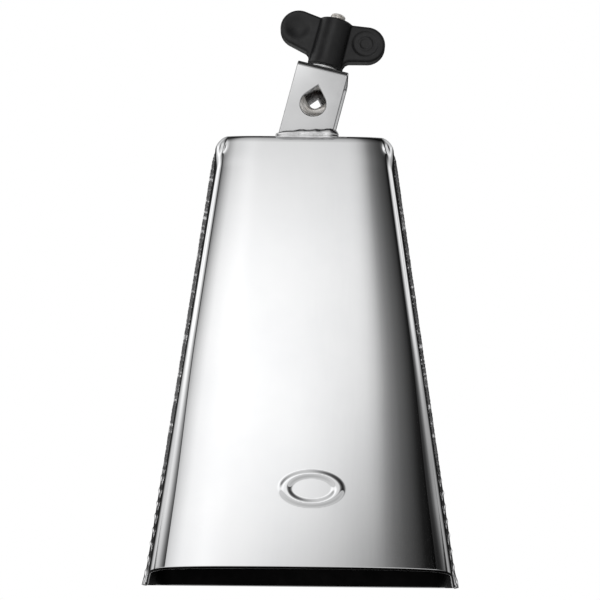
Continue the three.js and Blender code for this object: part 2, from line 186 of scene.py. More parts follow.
class Graph:
    """A node tree that is being built."""

    def __init__(self, tree):
        self.tree = tree

    def add(self, kind, **settings):
        node = self.tree.nodes.new(kind)
        for key, value in settings.items():
            setattr(node, key, value)
        return node

    def link(self, source, target):
        self.tree.links.new(source, target)

    def spread(self, value, start, end, low, high):
        node = self.add("ShaderNodeMapRange")
        for socket, number in zip(("From Min", "From Max", "To Min", "To Max"), (start, end, low, high)):
            node.inputs[socket].default_value = number
        self.link(value, node.inputs["Value"])
        return node.outputs["Result"]

    def ramp(self, value, *stops):
        node = self.add("ShaderNodeValToRGB")
        elements = node.color_ramp.elements
        for index, (place, colour) in enumerate(stops):
            element = elements[index] if index < 2 else elements.new(place)
            element.position = place
            element.color = (*colour, 1)
        self.link(value, node.inputs["Fac"])
        return node.outputs["Color"]


class Nodes(Graph):
    """One material's tree around its Principled shader."""

    def __init__(self, name, **values):
        self.material = bpy.data.materials.new(name)
        self.material.use_nodes = True
        super().__init__(self.material.node_tree)
        self.shader = self.tree.nodes["Principled BSDF"]
        self.place = self.add("ShaderNodeTexCoord").outputs["Object"]
        for key, value in values.items():
            self.shader.inputs[key].default_value = value

    def scaled(self, stretch):
        mapping = self.add("ShaderNodeMapping")
        mapping.inputs["Scale"].default_value = stretch
        self.link(self.place, mapping.inputs["Vector"])
        return mapping.outputs["Vector"]

    def noise(self, scale, detail=3, roughness=0.5, stretch=None):
        texture = self.add("ShaderNodeTexNoise")
        texture.inputs["Scale"].default_value = scale
        texture.inputs["Detail"].default_value = detail
        texture.inputs["Roughness"].default_value = roughness
        self.link(self.scaled(stretch) if stretch else self.place, texture.inputs["Vector"])
        return texture.outputs["Fac"]

    def colour(self, value, *stops):
        self.link(self.ramp(value, *stops), self.shader.inputs["Base Color"])

    def roughness(self, value, low, high):
        self.link(self.spread(value, 0.3, 0.7, low, high), self.shader.inputs["Roughness"])

    def bump(self, *layers):
        """Each layer is (height, strength, distance), the coarsest first."""
        normal = None
        for height, strength, distance in layers:
            node = self.add("ShaderNodeBump")
            node.inputs["Strength"].default_value = strength
            node.inputs["Distance"].default_value = distance
            self.link(height, node.inputs["Height"])
            if normal:
                self.link(normal, node.inputs["Normal"])
            normal = node.outputs["Normal"]
        self.link(normal, self.shader.inputs["Normal"])


def chrome_material():
    m = Nodes("polished_chrome", Metallic=1)
    cloud = m.noise(26, 4, 0.55)
    grain = m.noise(420, 2, 0.5, stretch=(1, 1, 0.06))
    m.colour(cloud, (0.25, (0.87, 0.875, 0.885)), (0.75, (0.93, 0.932, 0.935)))
    m.roughness(m.noise(60, 5, 0.6), 0.035, 0.06)
    m.bump((m.noise(11, 1, 0.4), 0.25, 0.0006), (grain, 0.06, 0.00004), (m.noise(2600, 2), 0.04, 0.00002))
    return m.material


def painted_shade_inside_material():
    # painted shade: near-black metal for the bell's inside, and painted dark reflection for its rolled outer
    # lip
    m = Nodes("painted_shade_inside", Metallic=1)
    cloud = m.noise(45, 5, 0.6)
    m.colour(cloud, (0.3, (0.006, 0.006, 0.006)), (0.7, (0.016, 0.015, 0.015)))
    m.roughness(m.noise(150, 4), 0.35, 0.6)
    m.bump((m.noise(90, 3), 0.3, 0.0003), (m.noise(1500, 2), 0.2, 0.00005))
    return m.material


def weld_material():
    m = Nodes("chromed_weld", Metallic=1)
    plating = m.ramp(m.noise(420, 3, 0.6), (0.28, (0.62, 0.62, 0.63)), (0.5, (0.93, 0.93, 0.935)))
    painted_reflection = m.add("ShaderNodeAttribute", attribute_name="painted_reflection")
    # painted dark reflection: the plating's colour is multiplied by the bead's point attribute, darkest
    # between the scallops and on the ragged flanks
    painted_dark_reflection = m.add("ShaderNodeMixRGB", blend_type="MULTIPLY")
    painted_dark_reflection.inputs["Fac"].default_value = 1
    m.link(plating, painted_dark_reflection.inputs["Color1"])
    m.link(m.spread(painted_reflection.outputs["Fac"], 0, 1, 0, 1), painted_dark_reflection.inputs["Color2"])
    m.link(painted_dark_reflection.outputs["Color"], m.shader.inputs["Base Color"])
    m.roughness(m.noise(500, 3), 0.05, 0.14)
    m.bump((m.noise(500, 2), 0.15, 0.00015))
    return m.material


def bracket_weld_material():
    m = Nodes("satin_weld", Metallic=1)
    m.colour(m.noise(300, 3), (0.3, (0.8, 0.8, 0.81)), (0.7, (0.93, 0.93, 0.935)))
    m.roughness(m.noise(400, 3), 0.12, 0.2)
    m.bump((m.noise(300, 2), 0.1, 0.0001))
    return m.material


def strap_material():
    m = Nodes("satin_chrome_strap", Metallic=1)
    cloud = m.noise(90, 3, 0.5)
    brushed = m.noise(900, 3, 0.6, stretch=(1, 1, 0.08))
    m.colour(cloud, (0.3, (0.89, 0.893, 0.9)), (0.7, (0.94, 0.942, 0.946)))
    m.roughness(m.noise(260, 4), 0.14, 0.2)
    m.bump((m.noise(60, 1), 0.08, 0.0002), (brushed, 0.1, 0.00003), (m.noise(3200, 2), 0.12, 0.00002))
    return m.material


def nickel_material():
    m = Nodes("nickel_forging", Metallic=0.6)
    stain = m.noise(330, 4, 0.6)
    m.colour(stain, (0.3, (0.7, 0.66, 0.61)), (0.6, (0.94, 0.915, 0.88)))
    m.roughness(m.noise(500, 3), 0.1, 0.22)
    m.bump((m.noise(260, 3), 0.2, 0.0002), (m.noise(1800, 2), 0.2, 0.00004))
    return m.material


def painted_shade_bore_material():
    """Painted shade on the eye's upper bore: a near-black metal."""
    m = Nodes("painted_shade_bore", Metallic=1)
    stain = m.noise(330, 4, 0.6)
    m.colour(stain, (0.3, (0.012, 0.008, 0.006)), (0.7, (0.04, 0.028, 0.022)))
    m.roughness(m.noise(500, 3), 0.2, 0.35)
    m.bump((m.noise(700, 3), 0.2, 0.0001))
    return m.material


def zinc_material():
    m = Nodes("bright_zinc", Metallic=0.3)
    m.colour(m.noise(400, 3), (0.3, (0.78, 0.79, 0.8)), (0.7, (0.93, 0.93, 0.925)))
    m.roughness(m.noise(900, 3), 0.14, 0.3)
    m.bump((m.noise(1500, 2), 0.25, 0.00004))
    return m.material


def nylon_material():
    m = Nodes("black_nylon", IOR=1.58)
    mottle = m.noise(210, 4, 0.6)
    m.colour(mottle, (0.3, (0.0035, 0.0035, 0.004)), (0.7, (0.008, 0.008, 0.0085)))
    crease = m.add("ShaderNodeAttribute", attribute_name="crease")
    # painted shade: the specular level drops along the creases between hub and wings to darken them
    m.link(m.spread(crease.outputs["Fac"], 0, 1, 0.5, 0.06), m.shader.inputs["Specular IOR Level"])
    m.roughness(m.noise(480, 4), 0.32, 0.42)
    m.bump((m.noise(2300, 3, 0.6), 0.3, 0.00005), (m.noise(160, 2), 0.08, 0.0002))
    return m.material


CHROME = chrome_material()
PAINTED_SHADE_INSIDE = painted_shade_inside_material()
WELD = weld_material()
BRACKET_WELD = bracket_weld_material()
STRAP_CHROME = strap_material()
NICKEL = nickel_material()
PAINTED_SHADE_BORE = painted_shade_bore_material()
ZINC = zinc_material()
NYLON = nylon_material()

# ---- mesh helpers: points are in millimetres ----


@contextmanager
def editing(mesh):
    work = bmesh.new()
    work.from_mesh(mesh)
    yield work
    work.to_mesh(mesh)
    work.free()


def make_piece(name, points, faces, *fitting, matrix=None, smooth_angle=None):
    mesh = bpy.data.meshes.new(name)
    mesh.from_pydata(points, [], faces)
    mesh.transform(Matrix.Scale(MM, 4) @ matrix if matrix else Matrix.Scale(MM, 4))
    return finish_piece(mesh, name, *fitting, smooth_angle=smooth_angle)


def finish_piece(mesh, name, body, node, slot, *materials, smooth_angle=None):
    """Everything after the name is a piece's fitting."""
    piece = show(name, mesh)
    for material in materials:
        mesh.materials.append(material)
    with editing(mesh) as work:
        bmesh.ops.remove_doubles(work, verts=work.verts, dist=1e-7)
        bmesh.ops.recalc_face_normals(work, faces=work.faces)
        for face in work.faces:
            face.smooth = True
    if smooth_angle is not None:
        mesh.set_sharp_from_angle(angle=radians(smooth_angle))
    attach(piece, body)
    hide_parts(node)
    return piece


def bake(piece):
    """Applies a piece's modifiers to its mesh."""
    bpy.context.view_layer.update()
    graph = bpy.context.evaluated_depsgraph_get()
    mesh = bpy.data.meshes.new_from_object(piece.evaluated_get(graph))
    piece.modifiers.clear()
    piece.data = mesh
    return mesh


def ring_faces(rings, count, offset=0, looped=False):
    """Quads between closed rings of equal count. looped joins the last ring to the first as well."""
    faces = []
    for ring in range(rings if looped else rings - 1):
        low = offset + ring * count
        high = offset + (ring + 1) % rings * count
        for i in range(count):
            following = (i + 1) % count
            faces.append((low + i, low + following, high + following, high + i))
    return faces


def capped_tube(rings, offset=0):
    """The points and faces of a tube through closed rings, with a cap on each end."""
    count = len(rings[0])
    points = [point for ring in rings for point in ring]
    faces = ring_faces(len(rings), count, offset=offset)
    last = offset + len(points) - count
    faces.append(tuple(offset + i for i in range(count)))
    faces.append(tuple(last + i for i in range(count)))
    return points, faces


def lathe(profile, segments=96):
    """A profile of (radius, height) pairs turned about the axis. It is closed, or ends on the axis."""
    open_ended = profile[0][0] == 0
    inner = profile[1:-1] if open_ended else profile
    turns = [2 * pi * i / segments for i in range(segments)]
    points = [(radius * cos(turn), radius * sin(turn), height) for radius, height in inner for turn in turns]
    faces = ring_faces(len(inner), segments, looped=not open_ended)
    if open_ended:
        last = (len(inner) - 1) * segments
        first, end = len(points), len(points) + 1
        points += [(0, 0, profile[0][1]), (0, 0, profile[-1][1])]
        for i in range(segments):
            following = (i + 1) % segments
            faces.append((first, following, i))
            faces.append((end, last + i, last + following))
    return points, faces


def rounded(profile, radius):
    """Rounds each corner of a closed profile of (radius, height) pairs."""
    result = []
    count = len(profile)
    for i, corner in enumerate(profile):
        here = Vector(corner)
        before = Vector(profile[i - 1]) - here
        after = Vector(profile[(i + 1) % count]) - here
        reach = min(radius, before.length * 0.45, after.length * 0.45)
        start = here + before.normalized() * reach
        end = here + after.normalized() * reach
        for t in np.linspace(0, 1, 5):
            point = start * (1 - t) ** 2 + here * (2 * t * (1 - t)) + end * t**2
            result.append((point.x, point.y))
    return result


# ---- the bell shell ----

MARK_MIDDLE = (4.5, 36.0)  # across the panel, and along it from the mouth
MARK_HALF = (14.0, 8.0)
MARK_OUTER, MARK_INNER = 1.06, 0.62  # the band's edges, as shares of that
MARK_SLOPE = 0.16
MARK_RISE = 0.3
WRINKLE_DEPTH = 0.09
WRINKLE_TURN = 0.07
PINCH_ALONG = 197.0  # the pleat at the top of each shoulder
PINCH_IN = 4.6
PINCH_REACH = 8.0
PLEAT_RISE, DENT_DEPTH = 0.42, 0.3
OUTER_LIP = 0.8
INNER_LIP = 0.35


def panel_columns():
    """Where the panel's columns fall, as shares of its half width: close together over the pressed mark."""
    fine = np.linspace(0, 0.4, 44, endpoint=False)
    coarse = np.linspace(0.4, 1, 26, endpoint=False)
    return np.concatenate([fine, coarse])


def panel_sag(xi, dome):
    """How far the panel has fallen back at xi of its half width, as a share of that width.

    The panel is domed all over, and its outer half rolls back further to meet the shoulder."""
    outer = max(0.0, (xi - ROLL_START) / (1 - ROLL_START))
    return dome * xi**2 / 2 + EDGE_ROLL * (1 - ROLL_START) * outer**3 / 3


def arc_run(start_turn, end_turn, radius):
    """How far across and how far back an arc goes between two directions."""
    across = radius * (sin(end_turn) - sin(start_turn))
    return across, radius * (cos(start_turn) - cos(end_turn))


def wrinkle_share(share):
    """The fine wrinkle along the shoulder's upper half comes and goes."""
    return float(smoothstep(0.5, 0.62, share) * (1 - smoothstep(0.9, 0.94, share)))


def quarter_section(along, inset=0.0, width_inset=0.0, depth_inset=0.0):
    """(x, distance behind the front panel) from the panel's middle to the seam, square to the panel.

    After the panel come a tight crease, the round shoulder, and the side wall, which spreads to the seam."""
    share = along / PANEL_LENGTH
    rest = max(0.0, 1 - share)
    half_width = lerp(MOUTH_HALF_WIDTH, CROWN_HALF_WIDTH, share) - inset - width_inset
    seam_depth = lerp(MOUTH_HALF_DEPTH, CROWN_HALF_DEPTH, share) / LEAN_COSINE
    full = float(smoothstep(FULL_START, FULL_END, along))
    swell = float(smoothstep(SWELL_START, SWELL_END, rest))
    full_radius = lerp(SHOULDER_CROWN, SHOULDER_MOUTH, rest) + SHOULDER_SWELL * swell
    full_radius = max(LEAST_RADIUS, lerp(full_radius, FULL_RADIUS, full) - SHOULDER_TIGHTEN * width_inset)
    radius = full_radius - inset
    crease = CREASE_RADIUS - inset
    start = inset + depth_inset
    wall_spread = lerp(WALL_SPREAD, FULL_SPREAD, full)
    wall = pi / 2 - atan(wall_spread / (seam_depth - WALL_SHARE * full_radius))
    dome = DOME_MOUTH * rest**1.5
    edge_turn = dome + EDGE_ROLL
    shoulder_turn = lerp(lerp(SHOULDER_TURN_CROWN, SHOULDER_TURN_MOUTH, rest), edge_turn + FULL_TURN, full)
    crease_across, crease_back = arc_run(edge_turn, shoulder_turn, crease)
    shoulder_across, shoulder_back = arc_run(shoulder_turn, wall, radius)
    spread = 1 / tan(wall)
    sag = panel_sag(1, dome)
    wall_depth = seam_depth - start - crease_back - shoulder_back
    panel_half = (half_width - crease_across - shoulder_across - spread * wall_depth) / (1 - spread * sag)
    points = [(xi * panel_half, start + panel_half * panel_sag(xi, dome)) for xi in panel_columns()]
    x, behind = panel_half, start + panel_half * sag
    for turn in np.linspace(edge_turn, shoulder_turn, 6, endpoint=False):
        across, back = arc_run(edge_turn, turn, crease)
        points.append((x + across, behind + back))
    x, behind = x + crease_across, behind + crease_back
    wrinkled = wrinkle_share(share) if inset == 0 else 0
    wrinkle_turn = lerp(shoulder_turn, wall, 0.35 + 0.12 * sin(along * 0.05))
    for turn in np.linspace(shoulder_turn, wall, 30):
        across, back = arc_run(shoulder_turn, turn, radius)
        sink = WRINKLE_DEPTH * wrinkled * exp(-(((turn - wrinkle_turn) / WRINKLE_TURN) ** 2))
        points.append((x + across - sink * sin(turn), behind + back + sink * cos(turn)))
    corner = points[-1]
    for t in np.linspace(0, 1, 9)[1:]:
        points.append((lerp(corner[0], half_width, t), lerp(corner[1], seam_depth, t)))
    return points


def mark_height(x, along):
    """The plain pressed oval: one raised band."""
    across = (x - MARK_MIDDLE[0]) / MARK_HALF[0]
    up = (along - MARK_MIDDLE[1]) / MARK_HALF[1]
    radius = hypot(across, up)
    band = smoothstep(0.0, MARK_SLOPE, MARK_OUTER - radius) * smoothstep(0.0, MARK_SLOPE, radius - MARK_INNER)
    return MARK_RISE * float(band)


def pinch_height(across, up):
    """Where the fold gathers the metal at the top of each shoulder: a small pleat beside a dent."""
    across = across + 0.12 * up
    pleat = exp(-((across / 0.75) ** 2) - (up / 2.6) ** 2)
    dent = exp(-(((across - 1.5) / 0.7) ** 2) - ((up - 0.6) / 2.0) ** 2)
    return PLEAT_RISE * pleat - DENT_DEPTH * dent


def bell_ring(along, inset=0.0, width_inset=0.0, depth_inset=0.0):
    quarter = quarter_section(along, inset, width_inset, depth_inset)
    left = [(-x, behind) for x, behind in reversed(quarter)]
    across = left + quarter[1:]
    pinch_middle = lerp(MOUTH_HALF_WIDTH, CROWN_HALF_WIDTH, along / PANEL_LENGTH) - PINCH_IN

    def place(x, behind, side):
        if side < 0:
            behind = behind - mark_height(x, along)
        if inset == 0 and along > PINCH_ALONG - PINCH_REACH:
            behind = behind - pinch_height(abs(x) - pinch_middle, along - PINCH_ALONG)
        y = side * (MOUTH_HALF_DEPTH - along * LEAN_SINE - behind * LEAN_COSINE)
        return (x, y, RIM_HEIGHT + along * LEAN_COSINE - behind * LEAN_SINE)

    front = [place(x, behind, -1) for x, behind in across]
    back = [place(x, behind, 1) for x, behind in across[1:-1]]
    return front + back[::-1]


def bell_stations():
    """Distances along the panel, close together over the mark and below the crown."""
    low = MARK_MIDDLE[1] - MARK_HALF[1] - 3
    high = MARK_MIDDLE[1] + MARK_HALF[1] + 3
    upper = FULL_START - 1
    stretches = [(1.1, low, 2.4), (low, high, 0.5), (high, upper, 2.6), (upper, PANEL_LENGTH, 0.5)]
    return [along for start, end, step in stretches for along in np.arange(start, end, step)]


def crown_rings(inset):
    """The rings that round the crown over, and the last flat one."""
    corner = CROWN_CORNER - inset
    edge = CROWN_EDGE - inset
    run = CROWN_EDGE_RUN - inset
    top = PANEL_LENGTH - inset / LEAN_COSINE
    drops = {corner * (1 - sin(t)) for t in np.linspace(0, pi / 2, 13)}
    drops |= {run * (1 - sin(t)) for t in np.linspace(0, pi / 2, 13)}
    drops = sorted({round(drop, 4) for drop in drops}, reverse=True)
    rings = []
    for drop in drops:
        width_inset = corner - sqrt(max(0, corner**2 - (corner - drop) ** 2))
        depth_inset = edge * (1 - sqrt(max(0, 1 - (1 - drop / run) ** 2))) if drop < run else 0
        rings.append(bell_ring(top - drop, inset, width_inset, depth_inset))
    return rings


def crown_cap(count, base, points):
    """Rungs across the flat crown, from each front point to the one behind it."""
    half = count // 2
    cuts = 10
    rows = [[base + i for i in range(half + 1)]]
    for cut in range(1, cuts):
        row = [base]
        for i in range(1, half):
            front = Vector(points[base + i])
            back = Vector(points[base + count - i])
            row.append(len(points))
            points.append(tuple(front.lerp(back, cut / cuts)))
        row.append(base + half)
        rows.append(row)
    rows.append([base] + [base + count - i for i in range(1, half)] + [base + half])
    faces = []
    for lower, upper in zip(rows, rows[1:]):
        for i in range(half):
            quad = [lower[i], lower[i + 1], upper[i + 1], upper[i]]
            faces.append(tuple(dict.fromkeys(quad)))
    return faces


def add_bell_shell():
    arc = np.linspace(0, pi / 2, 6)
    straight = PANEL_LENGTH - CROWN_CORNER
    outer_lip = [bell_ring(OUTER_LIP * (1 - sin(t)), OUTER_LIP * (1 - cos(t))) for t in arc[::-1]]
    inner_lip = [bell_ring(INNER_LIP * (1 - cos(t)), SHEET - INNER_LIP * (1 - sin(t))) for t in arc]
    outer = outer_lip + [bell_ring(along) for along in bell_stations() if along < straight]
    outer += crown_rings(0)
    inner = inner_lip + [bell_ring(along, SHEET) for along in bell_stations() if along < straight - SHEET]
    inner += crown_rings(SHEET)
    count = len(outer[0])
    points = [point for ring in outer for point in ring]
    faces = ring_faces(len(outer), count)
    faces += crown_cap(count, (len(outer) - 1) * count, points)
    outside_faces = len(faces)
    start = len(points)
    points += [point for ring in inner for point in ring]
    faces += ring_faces(len(inner), count, offset=start)
    faces += crown_cap(count, start + (len(inner) - 1) * count, points)
    faces += [(i, (i + 1) % count, start + (i + 1) % count, start + i) for i in range(count)]
    # the inside (painted shade) and the rolled outer lip (painted dark reflection) get the near-black
    # material
    painted_dark_lip_faces = count * (len(outer_lip) - 1)
    bright_edge = count * (len(inner_lip) - 1)
    fitting = ("bell", "bell_shell", "chrome_shell", CHROME, PAINTED_SHADE_INSIDE)
    shell = make_piece("bell_shell_steel", points, faces, *fitting)
    for index, polygon in enumerate(shell.data.polygons):
        inside = outside_faces + bright_edge <= index < len(faces) - count
        polygon.material_index = 1 if inside or index < painted_dark_lip_faces else 0


add_bell_shell()

# ---- weld beads ----


def seam_place(along):
    """The seam's point so far along from the mouth, and the way out of the wall there, both as (x, z)."""
    foot = Vector((MOUTH_HALF_WIDTH, 0.0))
    height = CROWN_HEIGHT - CROWN_HALF_DEPTH * LEAN_SINE / LEAN_COSINE
    head = Vector((CROWN_HALF_WIDTH, height))
    run = (head - foot).normalized()
    out = Vector((run.y, -run.x))
    straight = (head - foot).length - CROWN_CORNER
    if along <= straight:
        return foot + run * along, out
    turn = min(radians(75), (along - straight) / CROWN_CORNER)
    centre = foot + run * straight - out * CROWN_CORNER
    direction = out * cos(turn) + run * sin(turn)
    return centre + direction * CROWN_CORNER, direction


SEAM_LENGTH = 203.5
SEAM_STEP = 0.25
SEAM_HALF_POINTS = 9
SCALLOPS_FADE = (44, 58)  # the scallops give way to ripples between these, from the mouth
RIPPLE_PITCH, SCALLOP_PITCH = 1.9, 6.6
RIPPLE_WIDTH, SCALLOP_MORE = 0.95, 1.4
BEAD_HEIGHT = 0.85
LUMP_RUN, LUMP_HEIGHT = 6.5, 0.9
RIDGE_HEIGHT, RIDGE_SHARE = 0.42, 0.14
BEAD_SUNK = 0.12
ROOT_LENGTH = 190


def bead_rise(across, saw, ridge, coarse, lump, height):
    """How high the bead stands across its width. saw runs from 0 to 1 over each ripple or scallop."""
    fine = 0.17 * (saw * (1 - saw) ** 0.5 * 1.7 - 0.5)
    crest = lerp(fine, ridge, coarse) * (1 - abs(across) ** 3) * (1 - 0.7 * lump)
    sharp = sqrt(max(0, 1 - abs(across) ** 2.4))
    soft = 0.5 + 0.5 * cos(pi * across)
    return height * lerp(sharp, soft, coarse * (1 - lump)) + crest


def bead_painted_reflection(ragged, ridge, coarse, lump):
    """How bright the bead's colour is left, as painted dark reflection: darker on the ragged flanks, darkest
    between the scallops.
    """
    flank = 1 - 0.8 * float(smoothstep(0.36, 0.72, ragged)) * (1 - lump)
    flat = 1 - 0.97 * (1 - lump) * (1 - float(smoothstep(0.12, 0.3, ridge)))
    return lerp(flank, flat, coarse)


def add_seam_weld(side, name):
    """Long overlapping scallops near the mouth, fine ripples above, and a lump at the mouth's corner."""
    draw = random.Random(31 + side)
    phase = draw.random()
    width_seed, wander_seed = draw.uniform(0, 50), draw.uniform(50, 90)
    rings = []
    painted_reflection = []
    for along in np.arange(0.1, SEAM_LENGTH, SEAM_STEP):
        coarse = float(1 - smoothstep(*SCALLOPS_FADE, along))
        pitch = lerp(RIPPLE_PITCH, SCALLOP_PITCH, coarse)
        phase += SEAM_STEP / (pitch * (1 + 0.3 * noise.noise((along * 0.21, width_seed, 3))))
        lump = exp(-((along / LUMP_RUN) ** 2))
        fade = min(1.0, (SEAM_LENGTH - along) / 5 + 0.15)
        waver = 0.3 * noise.noise((along * 0.13, width_seed, 0))
        width = (RIPPLE_WIDTH + SCALLOP_MORE * coarse + waver + 0.3 * lump) * sqrt(fade)
        height = BEAD_HEIGHT + 0.12 * noise.noise((along * 0.17, wander_seed, 0)) + LUMP_HEIGHT * lump
        wander = 0.35 * noise.noise((along * 0.06, wander_seed, 7))
        place, out = seam_place(float(along))
        ring = []
        for i in range(2 * SEAM_HALF_POINTS + 1):
            across = i / SEAM_HALF_POINTS - 1
            saw = (phase + 0.5 * across**2) % 1.0
            ridge = RIDGE_HEIGHT * exp(-(((saw - 0.5) / RIDGE_SHARE) ** 2))
            rough = 0.1 * noise.noise((along * 0.9, across * 1.5, wander_seed)) * (1 - 0.8 * coarse)
            rise = (bead_rise(across, saw, ridge, coarse, lump, height) + rough) * fade - BEAD_SUNK
            point = place + out * rise
            ring.append((side * point.x, wander + across * width, point.y))
            ragged = abs(across) + 0.9 * noise.noise((along * 0.8, across * 1.5, width_seed))
            # painted dark reflection, kept per point: darker on the ragged flanks and between the scallops
            painted_reflection.append(bead_painted_reflection(ragged, ridge, coarse, lump))
        root = place - out * 0.5
        ring.append((side * root.x, width * 0.5, root.y))
        ring.append((side * root.x, -width * 0.5, root.y))
        painted_reflection += [1.0, 1.0]
        rings.append(ring)
    points, faces = capped_tube(rings)
    root_points, root_faces = capped_tube(seam_root_rings(side, draw), offset=len(points))
    painted_reflection += [1.0] * len(root_points)
    mesh = bpy.data.meshes.new(f"{name}_bead")
    mesh.from_pydata(points + root_points, [], faces + root_faces)
    mesh.transform(Matrix.Scale(MM, 4))
    # the attribute paints the bead's dark reflections into its colour
    mesh.attributes.new("painted_reflection", "FLOAT", "POINT").data.foreach_set("value", painted_reflection)
    finish_piece(mesh, f"{name}_bead", "bell", name, "chrome_weld", WELD)


def seam_root_rings(side, draw):
    """The flatter side of the bead, which shows inside the bell."""
    across_points = 7
    seed = draw.uniform(0, 40)
    rings = []
    for along in np.arange(1.0, ROOT_LENGTH, 1.0):
        place, out = seam_place(float(along))
        width = 1.3 + 0.3 * noise.noise((along * 0.4, seed, 0))
        height = 0.35 + 0.2 * noise.noise((along * 0.5, seed, 5))
        ring = []
        for i in range(across_points):
            across = 2 * i / (across_points - 1) - 1
            point = place - out * (SHEET - 0.1 + height * sqrt(max(0, 1 - across**2)))
            ring.append((side * point.x, across * width, point.y))
        for across in (0.8, -0.8):
            point = place - out * (SHEET - 0.3)
            ring.append((side * point.x, across * width, point.y))
        rings.append(ring)
    return rings


add_seam_weld(-1, "left_seam_weld")
add_seam_weld(1, "right_seam_weld")


FOOT_BEAD_LEFT, FOOT_BEAD_RIGHT = -13.4, 15.6
FOOT_BEAD_STEPS = 17


def foot_bead_arch(z, up, down, level):
    """The foot bead's bulge between its edges, as a share of the most, which is at level."""
    if z > level:
        return 1 - ((z - level) / max(0.1, up - level)) ** 2
    return sqrt(max(0, 1 - ((level - z) / (level + down)) ** 6))


def add_bracket_weld(side, name):
    """The smooth, wavy bead over one foot of the bracket. It runs on down over the fold."""
    draw = random.Random(57 + side)
    seed = draw.uniform(0, 60)
    face = BRACKET_DEPTH / 2
    rings = []
    for x in np.arange(FOOT_BEAD_LEFT, FOOT_BEAD_RIGHT + 0.1, 0.2):
        t = (x - FOOT_BEAD_LEFT) / (FOOT_BEAD_RIGHT - FOOT_BEAD_LEFT)
        end = max(0.0, 1 - abs(2 * t - 1.0) ** 7 + 0.02) ** 0.5
        up = 3.0 + 0.06 * x + 0.7 * noise.noise((x * 0.2, seed, 4)) + 0.12 * noise.noise((x * 0.7, seed, 4))
        up *= end
        down = (1.9 + 0.6 * noise.noise((x * 0.24, seed, 9))) * end
        bulge = (1.35 + 0.2 * noise.noise((x * 0.2, seed, 0))) * end
        level = 0.9 + 0.35 * noise.noise((x * 0.16, seed, 12))
        ring = []
        for i in range(FOOT_BEAD_STEPS):
            z = lerp(up, -down, i / (FOOT_BEAD_STEPS - 1))
            base = face if z > 0 else face + 0.05 - 0.17 * z
            rough = 0.05 * noise.noise((x * 0.3, z * 0.4, seed))
            rise = (bulge + rough * end) * foot_bead_arch(z, up, down, level)
            ring.append((x, side * (base + rise - 0.05), CROWN_HEIGHT + z))
        ring.append((x, side * (face - 0.9), CROWN_HEIGHT - 0.8 * end - 0.1))
        ring.append((x, side * (face - 0.9), CROWN_HEIGHT + 0.6 * end))
        rings.append(ring)
    points, faces = capped_tube(rings)
    make_piece(f"{name}_bead", points, faces, "bell", name, "chrome_weld", BRACKET_WELD)


add_bracket_weld(-1, "front_bracket_weld")
add_bracket_weld(1, "rear_bracket_weld")

# ---- the clamp, in its own frame: origin on the crown, Z along the leaning bolt ----


def arc_points(centre, radius, start, end, steps):
    return [
        (centre[0] + radius * cos(lerp(start, end, i / steps)),
         centre[1] + radius * sin(lerp(start, end, i / steps)))
        for i in range(steps + 1)
    ]


def prism(outline, low, high, axis):
    """A flat outline given a length. axis "Y": the outline is (x, z). axis "X": the outline is (y, z)."""
    count = len(outline)
    points = []
    for level in (low, high):
        for a, b in outline:
            points.append((a, level, b) if axis == "Y" else (level, a, b))
    faces = [tuple(range(count)), tuple(range(2 * count - 1, count - 1, -1))]
    faces += [(i, (i + 1) % count, count + (i + 1) % count, count + i) for i in range(count)]
    return points, faces


def scratch(points, faces):
    """A helper object for a boolean, in the clamp's frame, in millimetres."""
    mesh = bpy.data.meshes.new("scratch")
    mesh.from_pydata(points, [], faces)
    with editing(mesh) as work:
        bmesh.ops.recalc_face_normals(work, faces=work.faces)
    return show("scratch", mesh)


def combine(piece, other, operation):
    """Joins or cuts a piece with another, which is then gone."""
    modifier = piece.modifiers.new("combine", "BOOLEAN")
    modifier.operation = operation
    modifier.solver = "EXACT"
    modifier.object = other
    bake(piece)
    bpy.data.objects.remove(other)


def soften(piece, width, segments):
    """Bevels a piece's edges."""
    modifier = piece.modifiers.new("soften", "BEVEL")
    modifier.width = width
    modifier.segments = segments
    modifier.limit_method = "ANGLE"
    modifier.angle_limit = radians(35)
    modifier.harden_normals = False
    bake(piece)


def edge_flats(piece):
    """Gives the large flat faces a narrow border, so that only it is shaded round the softened edges."""
    with editing(piece.data) as work:
        flats = [face for face in work.faces if face.calc_area() > 2]
        bmesh.ops.inset_region(work, faces=flats, thickness=0.05, use_even_offset=True, use_boundary=True)


def from_scratch(piece, name, *fitting, smooth_angle=None):
    """Turns a helper object into a visible piece."""
    mesh = piece.data
    mesh.transform(Matrix.Scale(MM, 4) @ CLAMP)
    bpy.data.objects.remove(piece)
    return finish_piece(mesh, name, *fitting, smooth_angle=smooth_angle)


